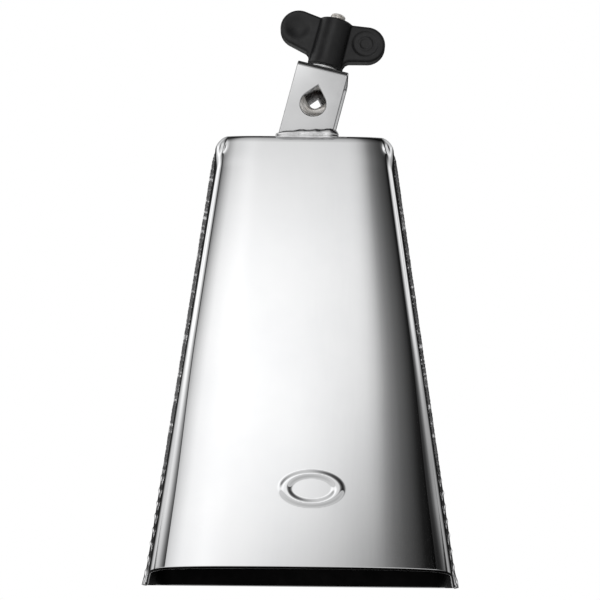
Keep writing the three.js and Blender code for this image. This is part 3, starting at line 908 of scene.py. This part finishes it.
def add_bracket():
    half = BRACKET_DEPTH / 2
    inner = half - STRAP
    bend = BRACKET_BEND - STRAP
    top = BRACKET_HEIGHT
    foot = -9  # cut off below
    quarter = pi / 2
    outline = [(-half, foot), (-inner, foot)]
    outline += arc_points((-inner + bend, top - STRAP - bend), bend, pi, quarter, 10)
    outline += arc_points((inner - bend, top - STRAP - bend), bend, quarter, 0, 10)
    outline += [(inner, foot), (half, foot)]
    outline += arc_points((half - BRACKET_BEND, top - BRACKET_BEND), BRACKET_BEND, 0, quarter, 16)
    outline += arc_points((-half + BRACKET_BEND, top - BRACKET_BEND), BRACKET_BEND, quarter, pi, 16)
    strap = scratch(*prism(outline, -BRACKET_WIDTH / 2, BRACKET_WIDTH / 2, "X"))
    tangent = asin(ROD_HOLE_RADIUS / ROD_HOLE_TIP)
    drop = [(0, ROD_HOLE_HEIGHT + ROD_HOLE_TIP)]
    drop += arc_points((0, ROD_HOLE_HEIGHT), ROD_HOLE_RADIUS, pi - tangent, 2 * pi + tangent, 56)
    combine(strap, scratch(*prism(drop, -20, 20, "Y")), "DIFFERENCE")
    bore = SHANK_RADIUS + CLEARANCE
    bolt_hole = lathe([(0, top - 6), (bore, top - 6), (bore, top + 4), (0, top + 4)])
    combine(strap, scratch(*bolt_hole), "DIFFERENCE")
    reach = 40
    slope = reach * tan(CLAMP_LEAN)
    below_crown = [(-reach, -36), (reach, -36), (reach, slope), (-reach, -slope)]
    combine(strap, scratch(*prism(below_crown, -30, 30, "Y")), "DIFFERENCE")
    soften(strap, 0.38, 3)
    edge_flats(strap)
    fitting = ("bell", "mounting_bracket", "satin_chrome", STRAP_CHROME)
    from_scratch(strap, "clamp_bracket", *fitting, smooth_angle=50)


def eye_hole_radius(angle):
    """How far the hole's edge is from the eye's centre in one direction: round, with a soft V below."""
    direction = Vector((cos(angle), sin(angle)))
    nose = EYE_HOLE_RISE - (EYE_HOLE - EYE_HOLE_NOSE) * sqrt(2)
    low, high = 0.0, EYE_OUTER
    for _ in range(30):
        middle = (low + high) / 2
        x, z = direction * middle
        round_part = hypot(x, z - EYE_HOLE_RISE) < EYE_HOLE
        nose_part = hypot(x, z - nose) < EYE_HOLE_NOSE
        wedge = abs(x) < z - (EYE_HOLE_RISE - EYE_HOLE * sqrt(2))
        between = wedge and nose - EYE_HOLE_NOSE * 0.7072 < z < EYE_HOLE_RISE - EYE_HOLE * 0.7071
        if round_part or nose_part or between:
            low = middle
        else:
            high = middle
    return low


def eye_ring():
    """The forged ring: a squarish section carried round from the hole's edge to the outer circle."""
    around, section = 128, 28
    power = 2 / 3.2
    points = []
    for i in range(around):
        angle = 2 * pi * i / around
        inner = eye_hole_radius(angle)
        middle = (EYE_OUTER + inner) / 2
        half = (EYE_OUTER - inner) / 2
        for j in range(section):
            turn = 2 * pi * j / section
            c, s = cos(turn), sin(turn)
            radial = middle + half * copysign(abs(c) ** power, c)
            y = EYE_THICKNESS / 2 * copysign(abs(s) ** power, s)
            points.append((radial * cos(angle), y, EYE_HEIGHT + radial * sin(angle)))
    return points, ring_faces(around, section, looped=True)


def add_eye_bolt():
    eye = scratch(*eye_ring())
    root = EYE_HEIGHT + EYE_HOLE_RISE + EYE_HOLE
    neck = [(0, root + 1), (SHANK_RADIUS, root + 1)]
    for t in np.linspace(0, 1, 8):
        neck.append((SHANK_RADIUS - 0.25, lerp(root + 2, BRACKET_HEIGHT - 1, t)))
    neck.append((0, BRACKET_HEIGHT - 1))
    combine(eye, scratch(*lathe(neck, 64)), "UNION")
    screw = scratch(*thread(root + 2.6, SHANK_TOP))
    with editing(eye.data) as work:
        work.from_mesh(screw.data)
    bpy.data.objects.remove(screw)
    fitting = ("eye_bolt", "eye_bolt", "nickel_steel", NICKEL, PAINTED_SHADE_BORE)
    piece = from_scratch(eye, "eye_bolt_forging", *fitting, smooth_angle=60)
    to_clamp = (Matrix.Scale(MM, 4) @ CLAMP).inverted()
    # the eye's upper bore gets the painted-shade material
    for polygon in piece.data.polygons:
        x, _, z = to_clamp @ polygon.center
        within = hypot(x, z - EYE_HEIGHT) < EYE_OUTER - 0.7
        polygon.material_index = 1 if within and z > EYE_HEIGHT - 0.25 * abs(x) else 0


def thread(foot, top):
    """A right-hand thread with a domed end."""
    columns = 40
    step = THREAD_PITCH / 8
    rows = int((top - foot) / step)
    points = []
    for row in range(rows + 1):
        z = foot + row * step
        below_top = top - z
        cap = SHANK_RADIUS
        if below_top < THREAD_DOME:
            cap = SHANK_RADIUS * (0.42 + 0.58 * sqrt(max(0, 1 - (1 - below_top / THREAD_DOME) ** 2)))
        for column in range(columns):
            angle = 2 * pi * column / columns
            phase = (z / THREAD_PITCH - column / columns) % 1.0
            groove = THREAD_DEPTH * min(1.0, max(0.0, 1.25 - abs(phase - 0.5) * 5))
            radius = min(SHANK_RADIUS - groove, cap)
            points.append((radius * cos(angle), radius * sin(angle), z))
    faces = ring_faces(rows + 1, columns)
    start = rows * columns
    points.append((0, 0, foot))
    points.append((0, 0, foot + rows * step + 0.05))
    for column in range(columns):
        following = (column + 1) % columns
        faces.append((len(points) - 2, following, column))
        faces.append((len(points) - 1, start + column, start + following))
    return points, faces


def add_washer():
    bore = SHANK_RADIUS + CLEARANCE
    top = WASHER_FOOT + WASHER_THICKNESS
    section = [(bore, WASHER_FOOT), (WASHER_RADIUS, WASHER_FOOT), (WASHER_RADIUS, top), (bore, top)]
    fitting = ("washer", "washer", "zinc_steel", ZINC)
    make_piece("plain_washer", *lathe(rounded(section, 0.22)), *fitting, matrix=CLAMP, smooth_angle=60)


def add_insert():
    bore = SHANK_RADIUS + CLEARANCE
    shoulder = COLLAR_FOOT + COLLAR_THICKNESS
    section = [(bore, COLLAR_FOOT), (COLLAR_RADIUS, COLLAR_FOOT), (COLLAR_RADIUS, shoulder)]
    section += [(INSERT_RADIUS, shoulder), (INSERT_RADIUS, INSERT_TOP), (bore, INSERT_TOP)]
    fitting = ("wing_nut", "wing_nut_insert", "zinc_steel", ZINC)
    make_piece("threaded_insert", *lathe(rounded(section, 0.2)), *fitting, matrix=CLAMP, smooth_angle=60)


def wing_outline(end):
    """One wing, from inside the hub out round its lobe. end is -1 or 1."""
    root = HUB_RADIUS - 3
    lobe = arc_points((LOBE_REACH, LOBE_HEIGHT), LOBE_RADIUS, radians(-79), radians(98), 64)
    fillet = [(-0.1, -3.6), (0.15, -2), (0.8, -0.6), (2, 0.3)]
    outline = [(root, WING_FOOT - 3.6)]
    outline += [(HUB_RADIUS + x, WING_FOOT + z) for x, z in fillet] + lobe
    outline.append((root, HUB_TOP - 0.7))
    return [(end * x, z) for x, z in outline]


def outline_distance(x, z, outline):
    """Signed distance to a closed outline, negative inside."""
    best = np.full(x.shape, 1e9)
    inside = np.zeros(x.shape, dtype=bool)
    for (ax, az), (bx, bz) in zip(outline, outline[1:] + outline[:1]):
        ex, ez = bx - ax, bz - az
        t = np.clip(((x - ax) * ex + (z - az) * ez) / (ex * ex + ez * ez), 0, 1)
        best = np.minimum(best, np.hypot(x - ax - t * ex, z - az - t * ez))
        if az != bz:
            inside ^= ((az > z) != (bz > z)) & (x < ax + (z - az) * ex / ez)
    return np.where(inside, -best, best)


def rounded_box(first, second, radius):
    """Distance to where both given distances are negative, with the edge between them rounded."""
    a, b = first + radius, second + radius
    return np.minimum(np.maximum(a, b), 0) + np.hypot(np.maximum(a, 0), np.maximum(b, 0)) - radius


def blend(a, b, size):
    """The nearer of two distances, with a fillet where they meet."""
    h = np.clip(0.5 + 0.5 * (b - a) / size, 0, 1)
    return b * (1 - h) + a * h - size * h * (1 - h)


def hub_distance(axis, z):
    taper = 0.25 * (z - HUB_FOOT) / (HUB_TOP - HUB_FOOT)
    height = HUB_TOP - HUB_FOOT
    return rounded_box(axis - (HUB_RADIUS + 0.1 - taper), np.abs(z - HUB_FOOT - height / 2) - height / 2, 0.9)


def mark_painted_crease_shade(mesh, points):
    """Painted crease shade: a point attribute that is 1 along the creases between the hub and the wings,
    where the nylon's specular level is lowered to darken them.
    """
    x, y, z = points[:, 0], points[:, 1], points[:, 2]
    hub = np.abs(hub_distance(np.hypot(x, y), z))
    face = np.abs(np.abs(y) - WING_THICKNESS / 2)
    near = np.hypot(hub, face)
    crease = (1 - smoothstep(0.1, 0.9, near)) * (np.abs(x) > 1)
    attribute = mesh.attributes.new("crease", "FLOAT", "POINT")
    attribute.data.foreach_set("value", crease.astype(np.float32))


def nut_distance(points):
    """Signed distance to the moulded nut's surface, in the clamp's frame."""
    x, y, z = points[:, 0], points[:, 1], points[:, 2]
    axis = np.hypot(x, y)
    solid = hub_distance(axis, z)
    for end in (-1, 1):
        thickness = WING_THICKNESS / 2 - 0.02 * (np.abs(x) - HUB_RADIUS)
        wing = rounded_box(outline_distance(x, z, wing_outline(end)), np.abs(y) - thickness, 1.3)
        solid = blend(solid, wing, 0.4)
    for face in (-1, 1):
        bowl_y = y - face * (WING_THICKNESS / 2 + BOWL_RADIUS - BOWL_DEPTH)
        bowl = np.sqrt((x + DIMPLE_REACH_LEFT) ** 2 + bowl_y**2 + (z - LOBE_HEIGHT) ** 2) - BOWL_RADIUS
        solid = -blend(-solid, bowl, 0.5)
        reach = np.hypot(x - DIMPLE_REACH_RIGHT, z - LOBE_HEIGHT)
        ring = np.clip(1 - np.abs(reach - RING_RADIUS) / 0.75, 0, 1) if face < 0 else 0
        floor = WING_THICKNESS / 2 - DIMPLE_DEPTH + 0.3 * np.minimum(1, 1.6 * ring)
        recess = rounded_box(reach - DIMPLE_RADIUS, floor - face * y, 0.55)
        solid = -blend(-solid, recess, 0.6)
    pocket = np.maximum(axis - INSERT_RADIUS - POCKET_GAP, z - INSERT_TOP - POCKET_GAP)
    return np.maximum(solid, -np.minimum(pocket, axis - SHANK_RADIUS - BORE_GAP))


def rough_nut():
    """The hub and both wings as overlapping blocks in one mesh."""
    bore = SHANK_RADIUS + BORE_GAP
    pocket = INSERT_RADIUS + POCKET_GAP
    pocket_top = INSERT_TOP + POCKET_GAP
    profile = [(pocket, HUB_FOOT), (HUB_RADIUS, HUB_FOOT), (HUB_RADIUS, HUB_TOP), (bore, HUB_TOP)]
    profile += [(bore, pocket_top), (pocket, pocket_top)]
    nut = scratch(*lathe(profile))
    for end in (-1, 1):
        outline = [(end * max(end * x, HUB_RADIUS - 1.2), z) for x, z in wing_outline(end)]
        wing = scratch(*prism(outline, -WING_THICKNESS / 2, WING_THICKNESS / 2, "Y"))
        with editing(nut.data) as work:
            work.from_mesh(wing.data)
        bpy.data.objects.remove(wing)
    return nut


def add_wing_nut():
    """The rough blocks are fused, and the points are then drawn onto the moulding's exact surface."""
    nut = rough_nut()
    remesh = nut.modifiers.new("fuse", "REMESH")
    remesh.mode = "VOXEL"
    remesh.voxel_size = NUT_VOXEL
    remesh.use_smooth_shade = True
    relax = nut.modifiers.new("relax", "SMOOTH")
    relax.factor = 0.5
    relax.iterations = 4
    mesh = bake(nut)
    flat = np.empty(len(mesh.vertices) * 3, dtype=np.float32)
    mesh.vertices.foreach_get("co", flat)
    co = flat.reshape(-1, 3).astype(np.float64)
    probe = 0.02
    for _ in range(6):
        here = nut_distance(co)
        gradient = np.stack([(nut_distance(co + probe * step) - here) / probe for step in np.eye(3)], axis=1)
        length = np.maximum(np.sum(gradient**2, axis=1), 0.25)
        co -= np.clip(here / length, -0.4, 0.4)[:, None] * gradient
    mesh.vertices.foreach_set("co", co.astype(np.float32).ravel())
    mesh.update()
    mark_painted_crease_shade(mesh, co)
    from_scratch(nut, "wing_nut_moulding", "wing_nut", "wing_nut", "black_nylon", NYLON)


add_bracket()
add_eye_bolt()
add_washer()
add_insert()
add_wing_nut()

# ---- stage: pale floor, soft surrounding light ----

FLOOR_HALF = 12
FLOOR_HEIGHT = -0.3
STUDIO_LEVEL = 1.18
# (direction in degrees, level): 0 is in front of the bell, and 90 to its right
STUDIO_AROUND = [
    (-180, 0.85), (-150, 0.8), (-138, 0.5), (-120, 0.85), (-108, 1.0), (-92, 1.0), (-80, 0.7), (-70, 0.4),
    (-58, 0.16), (-46, 0.03), (-36, 0.06), (-29, 0.1), (-25, 0.18), (-20, 0.44), (-17, 0.64), (-13, 0.86),
    (-3.4, 1.0), (0, 0.88), (3.4, 0.69), (6.3, 0.47), (8.8, 0.27), (11.2, 0.185), (15, 0.11), (20, 0.06),
    (25, 0.014), (32, 0.002), (42, 0.015), (58, 0.06), (70, 0.2), (82, 0.65), (95, 0.95), (125, 0.7),
]
# (degrees above the horizon, level)
STUDIO_HEIGHT = [
    (-90, 0.25), (-32, 0.27), (-14, 0.42), (0, 0.5), (5, 0.53), (10, 0.58), (16, 0.61), (19.2, 0.58),
    (19.9, 0.7), (20.6, 0.79), (21.4, 0.89), (22.2, 0.97), (23.1, 1.0), (24.7, 0.99), (25.6, 0.96),
    (26.4, 0.9), (27, 0.84), (27.7, 0.76), (28.4, 0.68), (32, 0.62), (50, 0.5), (66, 0.34),
    (78, 0.06), (90, 0.03),
]


def add_floor():
    mesh = bpy.data.meshes.new("floor")
    corners = [(x * FLOOR_HALF, y * FLOOR_HALF, 0) for x, y in ((-1, -1), (1, -1), (1, 1), (-1, 1))]
    mesh.from_pydata(corners, [], [(0, 1, 2, 3)])
    floor = show("floor", mesh)
    floor.location.z = FLOOR_HEIGHT
    m = Nodes("pale_floor", Roughness=0.8)
    m.colour(m.noise(3, 2), (0.3, (0.8, 0.8, 0.8)), (0.7, (0.84, 0.84, 0.835)))
    mesh.materials.append(m.material)
    floor.visible_glossy = False


class Sky(Graph):
    """The world's tree. Its values are sockets or plain numbers."""

    def __init__(self, tree):
        super().__init__(tree)
        split = self.add("ShaderNodeSeparateXYZ")
        self.link(self.add("ShaderNodeTexCoord").outputs["Generated"], split.inputs[0])
        degrees = 180 / pi
        front = self.times(split.outputs["Y"], -1.0)
        self.azimuth = self.times(self.math("ARCTAN2", split.outputs["X"], front), degrees)
        self.elevation = self.times(self.math("ARCSINE", split.outputs["Z"]), degrees)

    def math(self, operation, *values):
        node = self.add("ShaderNodeMath", operation=operation)
        for socket, value in zip(node.inputs, values):
            if isinstance(value, (int, float)):
                socket.default_value = value
            else:
                self.link(value, socket)
        return node.outputs[0]

    def times(self, first, second):
        return self.math("MULTIPLY", first, second)

    def levels(self, angle, limit, stops):
        """The level at an angle between -limit and limit."""
        places = [((at + limit) / (2 * limit), (level, level, level)) for at, level in stops]
        return self.ramp(self.spread(angle, -limit, limit, 0, 1), *places)


def studio_level(sky):
    """A soft box in front, black flags beside it and behind, and pale walls round about."""
    azimuth, elevation = sky.azimuth, sky.elevation
    # the soft box's left edge slants: it reaches further round at the bottom
    slant = sky.spread(elevation, 19, 28.5, 0.45, 0)
    left = sky.math("MINIMUM", sky.math("MAXIMUM", sky.times(azimuth, -1.0), 0.0), 30.0)
    left = sky.times(left, sky.spread(azimuth, -44, -34, 0, 1))
    slanted = sky.math("ADD", azimuth, sky.times(slant, left))
    # the pale wall on the right stands further back, and is dimmer, low down
    downward = sky.spread(elevation, 19.5, 27, 1, 0)
    right = sky.times(downward, sky.spread(azimuth, 45, 60, 0, 1))
    slanted = sky.math("SUBTRACT", slanted, sky.times(right, 14.0))
    # lower still the soft box is much wider, but it doesn't reach behind the bell
    sideways = sky.math("ABSOLUTE", azimuth)
    wide = (sky.spread(elevation, 16.8, 18.6, 0.12, 1), sky.spread(sideways, 95, 115, 0.12, 1))
    slanted = sky.times(slanted, sky.math("MAXIMUM", *wide))
    around = sky.levels(slanted, 180, STUDIO_AROUND)
    # on the left it is as bright low down as higher up
    lifted = sky.times(sky.math("MINIMUM", left, 12.0), sky.spread(elevation, 19, 24, 0.25, 0))
    height = sky.levels(sky.math("ADD", elevation, lifted), 90, STUDIO_HEIGHT)
    # black flags behind the bell, low and high, with a bright gap between. They stand apart near the horizon.
    round_back = sky.math("ADD", sideways, sky.times(downward, 5.0))
    round_back = sky.math("SUBTRACT", round_back, sky.spread(elevation, 2, 9, 18, 0))
    behind = sky.spread(round_back, 130, 145, 0, 1)
    low = sky.times(sky.spread(elevation, 20, 30, 1, 0), sky.spread(elevation, -8, -1, 0, 1))
    reach = sky.math("MAXIMUM", low, sky.spread(elevation, 60, 72, 0, 1))
    flag = sky.math("SUBTRACT", 1.0, sky.times(sky.times(behind, reach), 0.97))
    flag = sky.times(flag, sky.math("SUBTRACT", 1.0, sky.times(right, 0.4)))
    level = sky.times(sky.times(around, height), flag)
    return sky.times(level, STUDIO_LEVEL)


def add_world():
    """What the chrome mirrors. The camera itself sees plain white beyond the floor."""
    world = bpy.data.worlds.new("studio")
    bpy.context.scene.world = world
    world.use_nodes = True
    sky = Sky(world.node_tree)
    seen = sky.add("ShaderNodeMixRGB")
    sky.link(sky.add("ShaderNodeLightPath").outputs["Is Camera Ray"], seen.inputs["Fac"])
    sky.link(studio_level(sky), seen.inputs["Color1"])
    seen.inputs["Color2"].default_value = (1, 1, 1, 1)
    sky.link(seen.outputs["Color"], world.node_tree.nodes["Background"].inputs["Color"])


def add_top_light():
    """A soft light from above for the floor and the nylon. It isn't mirrored in the chrome."""
    light = bpy.data.lights.new("top_light", "SUN")
    light.energy = 2.4
    light.angle = radians(30)
    holder = show("top_light", light)
    holder.rotation_euler = (radians(35), radians(-35), 0)
    holder.visible_glossy = False


add_floor()
add_world()
add_top_light()
scene = bpy.context.scene
scene.view_settings.view_transform = "Standard"
